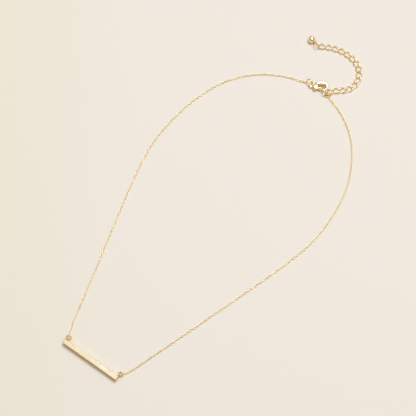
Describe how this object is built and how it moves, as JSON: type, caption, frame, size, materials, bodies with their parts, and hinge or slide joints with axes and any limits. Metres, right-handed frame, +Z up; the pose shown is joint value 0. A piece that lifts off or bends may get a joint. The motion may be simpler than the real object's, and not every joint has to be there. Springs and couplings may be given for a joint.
{
  "type": "bar pendant necklace",
  "caption": "Polished rectangular bar on a fine cable chain, lying flat, with jump rings, a lobster clasp with a sprung lever, and an extender chain that ends in a ball.",
  "frame": {"origin": "middle of the bar's underside, on the surface that the necklace lies on", "axes": "+X along the bar, +Y from the bar to the clasp and the extender, +Z up from the surface"},
  "size_m": [0.0889, 0.1918, 0.0036],
  "materials": {
    "gold": "polished gold colour",
    "bar_gold": "polished gold colour",
    "chain_gold": "polished gold colour",
    "link_gold": "polished gold colour"
  },
  "bodies": {
    "necklace": {"bar": "bar_gold", "jump_ring_left": "gold", "jump_ring_right": "gold", "chain_left": "chain_gold", "chain_right": "chain_gold", "clasp_ring": "gold", "clasp_body": "gold", "clasp_pin": "gold", "join_ring": "gold", "strand_ring": "gold", "extender_link_01": "link_gold", "extender_link_02": "link_gold", "extender_link_03": "link_gold", "extender_link_04": "link_gold", "extender_link_05": "link_gold", "extender_link_06": "link_gold", "extender_link_07": "link_gold", "extender_link_08": "link_gold", "extender_link_09": "link_gold", "extender_link_10": "link_gold", "extender_link_11": "link_gold", "extender_link_12": "link_gold", "extender_link_13": "link_gold", "extender_link_14": "link_gold", "extender_link_15": "link_gold", "ball_ring": "gold", "ball_drop": "gold"},
    "lever": {"clasp_lever": "gold"}
  },
  "joints": [
    {"name": "lever_hinge", "type": "hinge", "parent": "necklace", "child": "lever", "pos_m": [0.00716, 0.1656, 0.0017], "axis": [0, 0, 1], "range_deg": [0, 24], "stiffness_Nm_per_rad": 0.001}
  ]
}
